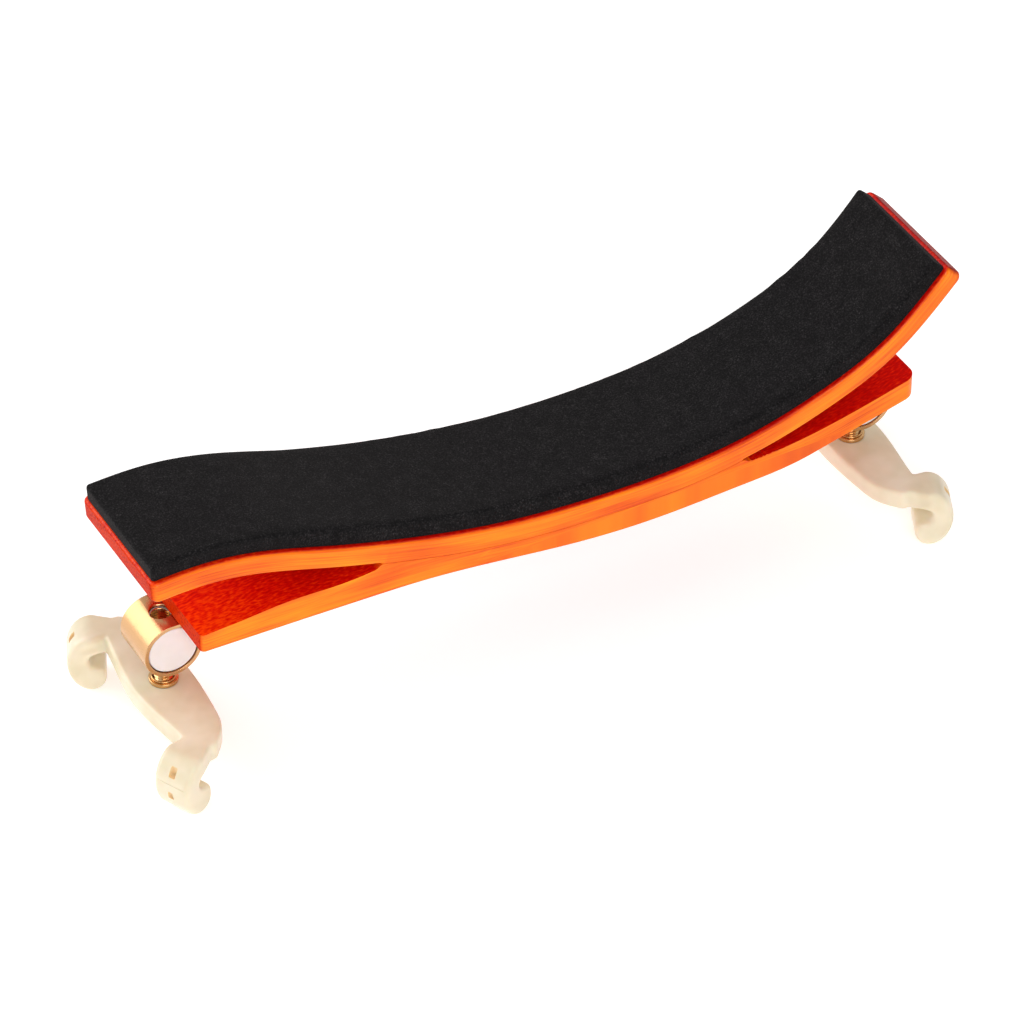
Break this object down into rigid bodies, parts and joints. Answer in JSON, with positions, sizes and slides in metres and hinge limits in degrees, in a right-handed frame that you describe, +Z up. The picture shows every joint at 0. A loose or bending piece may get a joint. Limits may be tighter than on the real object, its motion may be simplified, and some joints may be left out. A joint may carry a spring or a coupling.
{
  "type": "violin shoulder rest",
  "caption": "Curved wooden violin shoulder rest with a foam pad; screw-in feet with moulded claws hang from brass straps rolled round nylon barrels.",
  "frame": {"origin": "middle of the whole outline, on the plane that the claw tips stand on", "axes": "+X along the rest towards the end that curls up over the shoulder, +Z up out of the violin, +Y across the rest"},
  "size_m": [0.2302, 0.0668, 0.0803],
  "materials": {
    "maple": "gloss",
    "foam": "matte",
    "tape": "matte",
    "brass_strap": "satin",
    "brass_screw": "satin",
    "stud": "satin",
    "brass_flange": "satin",
    "nylon": "satin",
    "ivory": "gloss",
    "core": "satin"
  },
  "bodies": {
    "rest": {"upper_plate": "maple", "lower_plate": "maple", "pad_tape": "tape", "foam_pad": "foam", "left_strap": "brass_strap", "left_strap_screw_1": "brass_screw", "left_strap_screw_2": "brass_screw", "left_barrel": "nylon", "right_strap": "brass_strap", "right_strap_screw_1": "brass_screw", "right_strap_screw_2": "brass_screw", "right_barrel": "nylon"},
    "left_lift": {"left_washer": "brass_flange"},
    "left_foot_assembly": {"left_stud": "stud", "left_flange_insert": "brass_flange", "left_foot_core": "core", "left_foot": "ivory"},
    "right_lift": {"right_washer": "brass_flange"},
    "right_foot_assembly": {"right_stud": "stud", "right_flange_insert": "brass_flange", "right_foot_core": "core", "right_foot": "ivory"}
  },
  "joints": [
    {"name": "left_lift", "type": "slide", "parent": "rest", "child": "left_lift", "axis": [0, 0, 1], "range_m": [-0.0048, 0.0032]},
    {"name": "left_turn", "type": "hinge", "parent": "left_lift", "child": "left_foot_assembly", "pos_m": [-0.10039, 0, 0.0242], "axis": [0, 0, 1], "range_deg": [-2160, 1440]},
    {"name": "right_lift", "type": "slide", "parent": "rest", "child": "right_lift", "axis": [0, 0, 1], "range_m": [-0.0048, 0.0032]},
    {"name": "right_turn", "type": "hinge", "parent": "right_lift", "child": "right_foot_assembly", "pos_m": [0.09701, 0, 0.0242], "axis": [0, 0, 1], "range_deg": [-2160, 1440]}
  ],
  "couplings": [
    {"joint": "left_turn", "follows": "left_lift", "rad_per_m": 7854},
    {"joint": "right_turn", "follows": "right_lift", "rad_per_m": 7854}
  ]
}
